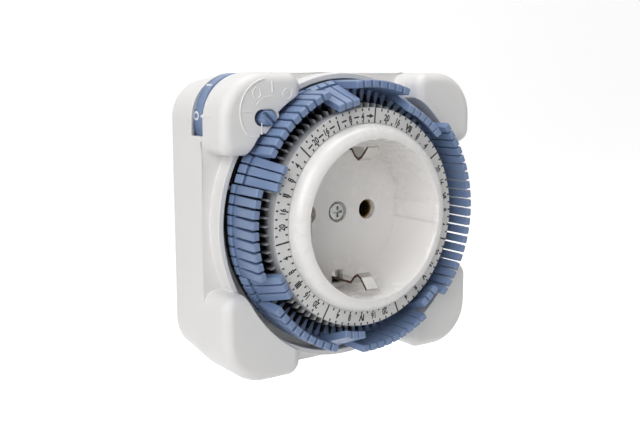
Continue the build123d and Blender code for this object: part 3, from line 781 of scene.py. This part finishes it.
class TIMER_OT_dial(bpy.types.Operator):
    """Dial: carrier with skirt, rear disc, driving teeth and ribs, coloured with painted shade from
    black deep down to pale at the front, and the white scale ring
    """
    bl_idname = "timer.dial"
    bl_label = "Dial"

    def execute(self, context):
        sizes = context.scene.timer_sizes
        pitch = 360 / sizes.segment_count
        rib = self.rib()
        ribs = [on_dial(rib, sizes.first_line + pitch * line)
                for line in range(sizes.segment_count)]
        make_piece("dial_carrier", joined([turned(self.carrier()), self.teeth()] + ribs),
                   "dial_assembly", finish_of("carrier"), ("dial",))
        make_piece("dial_scale_ring", turned(self.plate(sizes.scale_outer / MM,
                                                        sizes.dial_front / MM)),
                   "dial_assembly", finish_of("scale"), ("scale_ring",))
        dress_nodes("pivot_wire")
        return {"FINISHED"}

    def carrier(self):
        """Section of the carrier: skirt, face under the scale ring, wall and rear disc."""
        bore, skirt, step, wall, disc = 21.7, 23.4, 26.35, 27.0, 32.8
        rear, disc_rear, disc_front, shoulder, face = 13.4, 19.2, 20.6, 30.5, 32.15
        groove, groove_floor = 25.2, 30.95
        return rounded([(bore, rear, 0), (skirt, rear, 0), (skirt, groove_floor, 0.2),
                        (groove, groove_floor, 0.2), (groove, disc_rear, 0.2),
                        (disc, disc_rear, 0.3), (disc, disc_front, 0.3), (wall, disc_front, 0.3),
                        (wall, shoulder, 0.1), (step, shoulder, 0), (step, face, 0),
                        (bore, face, 0)], 3)

    def plate(self, edge, face):
        """Section of the scale ring: a plate with a rim and a fine groove inside the scale."""
        bore, rim, back, rim_back = 21.7, 26.4, 32.2, 30.6
        groove, groove_floor = (23.5, 23.42, 23.3, 23.22), 33.22
        return rounded([(bore, back, 0), (rim, back, 0), (rim, rim_back, 0), (edge, rim_back, 0.1),
                        (edge, face, 0.3), (groove[0], face, 0), (groove[1], groove_floor, 0),
                        (groove[2], groove_floor, 0), (groove[3], face, 0), (bore, face, 0.1)], 3)

    def rib(self):
        """Thin fin between two segments: an outline of (radius, height) carried across its
        thickness."""
        outline = rounded([(26.0, 19.9, 0), (30.6, 19.9, 0), (30.6, 26.2, 0.4), (28.6, 26.9, 0.4),
                           (28.2, 30.5, 0.3), (26.0, 30.5, 0)], 2)
        half, ease = 0.25, 0.06
        rings = []
        for along, depth in [(-half, ease), (ease - half, 0), (half - ease, 0), (half, ease)]:
            edge = inset(outline, depth)
            rings.append(np.column_stack([edge[:, 0], np.full(len(edge), along), edge[:, 1]]))
        return swept(np.stack(rings))

    def teeth(self):
        """Driving teeth: radius = middle + wave cos(n a), clipped to root and tip, carried
        between two heights."""
        count, middle, wave, tip, root, bore = 100, 24.95, 1.1, 25.4, 24.4, 23.2
        rear, front = 13.4, 16.4
        angle = np.linspace(0, TURN, count * 12, endpoint=False)
        outer = np.clip(middle + wave * np.cos(angle * count), root, tip)
        inner = np.full(len(angle), bore)
        rings = [np.column_stack([radius * np.cos(angle), np.full(len(angle), -height),
                                  radius * np.sin(angle)])
                 for radius, height in [(inner, rear), (outer, rear), (outer, front),
                                        (inner, front)]]
        return swept(np.stack(rings), closed=True)


class TIMER_OT_scale(bpy.types.Operator):
    """Printed scale: day lines, two-hour ticks, hours and the Roman numbers of the days"""
    bl_idname = "timer.scale"
    bl_label = "Scale"

    def execute(self, context):
        sizes = context.scene.timer_sizes
        lift, tick_margin, breadth = 0.004, 0.5, 0.4
        face = sizes.dial_front / MM + lift
        inner, outer = sizes.scale_inner / MM, sizes.scale_outer / MM
        middle = (inner + outer) / 2 - 0.2
        tall = sizes.numeral_height / MM
        pitch = 360 / sizes.segment_count
        marks = []

        def put(shape, radius, step):
            """Flat mark stood on the dial some steps past the first day line, with its top
            outwards: up becomes radius, x runs clockwise."""
            points, faces = shape
            points = np.column_stack([radius + points[:, 1], -points[:, 0], face + points[:, 2]])
            marks.append(on_dial((points, faces), sizes.first_line + pitch * step))

        day_line = bar(breadth, outer - inner - 0.12)
        tick = bar(0.38, 0.65)
        for line in range(sizes.segment_count):
            if line % DAY == 0:
                put(day_line, (inner + outer) / 2, line)
            else:
                put(tick, outer - tick_margin, line)
                put(tick, inner + tick_margin, line)
        for day, roman in enumerate(["I", "II", "III", "IV", "V", "VI", "VII"]):
            for hour, text in [(4, "4"), (8, "8"), (12, roman), (16, "16"), (20, "20")]:
                narrow, weight = (0.82, 0.06) if text == roman else (0.72, 0.035)
                put(lettering(text, tall, narrow, weight), middle, DAY * day + hour / 2)
        for hour in (6, 10, 14, 18, 22):
            put(bar(1.5, breadth), middle, hour / 2)
        # Clockwise arrow on the first day: its shaft and its head
        put(bar(1.2, breadth), middle, 1.05)
        put(flat_mark([(-0.6, -0.55), (0.75, 0.0), (-0.6, 0.55)]), middle, 0.55)
        make_piece("dial_scale_print", joined(marks), "dial_assembly", finish_of("ink"))
        return {"FINISHED"}


class TIMER_OT_segments(bpy.types.Operator):
    """Flip segments: upright runs on the dial, and tilted ones that each turn on the wire"""
    bl_idname = "timer.segments"
    bl_label = "Segments"

    def execute(self, context):
        sizes = context.scene.timer_sizes
        segment = self.segment(sizes.pivot_radius / MM, sizes.pivot_height / MM)
        pitch = 360 / sizes.segment_count
        middle = sizes.first_line + pitch / 2
        material = finish_of("blue_plastic")
        for first, last in TILTED_GROUPS:
            for number in range(first, last + 1):
                node = f"segment_day{number // DAY + 1}_{number % DAY * 2:02d}h"
                tilted = on_dial(segment, middle + pitch * number, sizes.segment_tilt)
                make_piece(f"{node}_body", tilted, node, material, (node,))
        for run, (first, _) in enumerate(TILTED_GROUPS):
            start = TILTED_GROUPS[run - 1][1] + 1
            if start > first:
                start -= sizes.segment_count
            upright = [on_dial(segment, middle + pitch * number) for number in range(start, first)]
            make_piece(f"segments_run_{run + 1}_bodies", joined(upright), "dial_assembly",
                       material, (f"segments_run_{run + 1}",))
        return {"FINISHED"}

    def segment(self, pivot_radius, pivot_height):
        """One segment: the outline of plate and foot carried across its width, which narrows
        towards the tip, and a leg with an eye that hooks on the wire, each with eased side
        edges."""
        back, front, tip, foot = 31.6, 33.8, 34.8, 22.95
        plate = rounded([(32.0, tip, 0.25), (33.5, tip, 0.2), (front, 34.4, 0.25),
                         (front, 25.9, 0.12), (33.0, 25.9, 0), (33.0, 24.9, 0),
                         (front, 24.9, 0.12), (front, foot, 0.15), (33.15, foot, 0),
                         (33.15, 21.9, 0.15), (back, 21.9, 0.15), (back, 26.2, 0),
                         (31.9, 26.6, 0)], 2)
        eye = arc((pivot_radius, pivot_height), 1.1, 75, 285, 8)
        leg = np.vstack([eye, [(31.8, foot), (31.8, 26.15)]])
        return joined([self.across(plate, 2.1, 1.88, 0.14), self.across(leg, 1.2, 1.2, 0.1)])

    def across(self, outline, wide, wide_at_tip, ease):
        """Outline of (radius, height) carried along the tangent: half width is
        wide / 2 up to height 26 and shrinks evenly to wide_at_tip / 2 at height 35."""
        rings = []
        for side, depth in [(-1, ease), (-1, 0), (1, 0), (1, ease)]:
            edge = inset(outline, depth)
            half = np.interp(edge[:, 1], [26, 35], [wide / 2, wide_at_tip / 2])
            along = side * (half - (ease if depth == 0 else 0))
            rings.append(np.column_stack([edge[:, 0], along, edge[:, 1]]))
        return swept(np.stack(rings))


class TIMER_OT_works(bpy.types.Operator):
    """Switch, motor, wheels and current strips inside"""
    bl_idname = "timer.works"
    bl_label = "Inner works"

    def execute(self, context):
        dress_nodes("switch_base", "fixed_contact", "moving_blade", "line_strip", "neutral_strip",
                    "sleeve_left", "sleeve_right", "earth_link", "motor_can", "motor_plate",
                    "motor_coil", "motor_rotor", "motor_pinion", "compound_gear", "gear_axle")
        return {"FINISHED"}


class TIMER_PT_panel(bpy.types.Panel):
    """Buttons that make the timer's pieces"""
    bl_idname = "TIMER_PT_panel"
    bl_label = "Plug-in timer"
    bl_space_type = "VIEW_3D"
    bl_region_type = "UI"
    bl_category = "Timer"

    def draw(self, context):
        layout, scene = self.layout, context.scene
        for group in (scene.timer_sizes, scene.timer_colours, scene.timer_stage):
            box = layout.box()
            for key in group.__annotations__:
                box.prop(group, key)
        for operator in OPERATORS:
            layout.operator(operator.bl_idname)


OPERATORS = [TIMER_OT_stage, TIMER_OT_housing, TIMER_OT_selector, TIMER_OT_socket, TIMER_OT_dial,
             TIMER_OT_scale, TIMER_OT_segments, TIMER_OT_works]
CLASSES = [TimerSizes, TimerColours, TimerStage, *OPERATORS, TIMER_PT_panel]


def register():
    """Registers the classes and hangs the settings on the scene."""
    for cls in CLASSES:
        bpy.utils.register_class(cls)
    bpy.types.Scene.timer_sizes = PointerProperty(type=TimerSizes)
    bpy.types.Scene.timer_colours = PointerProperty(type=TimerColours)
    bpy.types.Scene.timer_stage = PointerProperty(type=TimerStage)


def unregister():
    """Takes the settings and classes away again."""
    for name in ("timer_sizes", "timer_colours", "timer_stage"):
        delattr(bpy.types.Scene, name)
    for cls in reversed(CLASSES):
        bpy.utils.unregister_class(cls)


def main():
    register()
    for operator in OPERATORS:
        family, name = operator.bl_idname.split(".")
        getattr(getattr(bpy.ops, family), name)()
    bpy.context.view_layer.update()


if __name__ == "__main__":
    main()
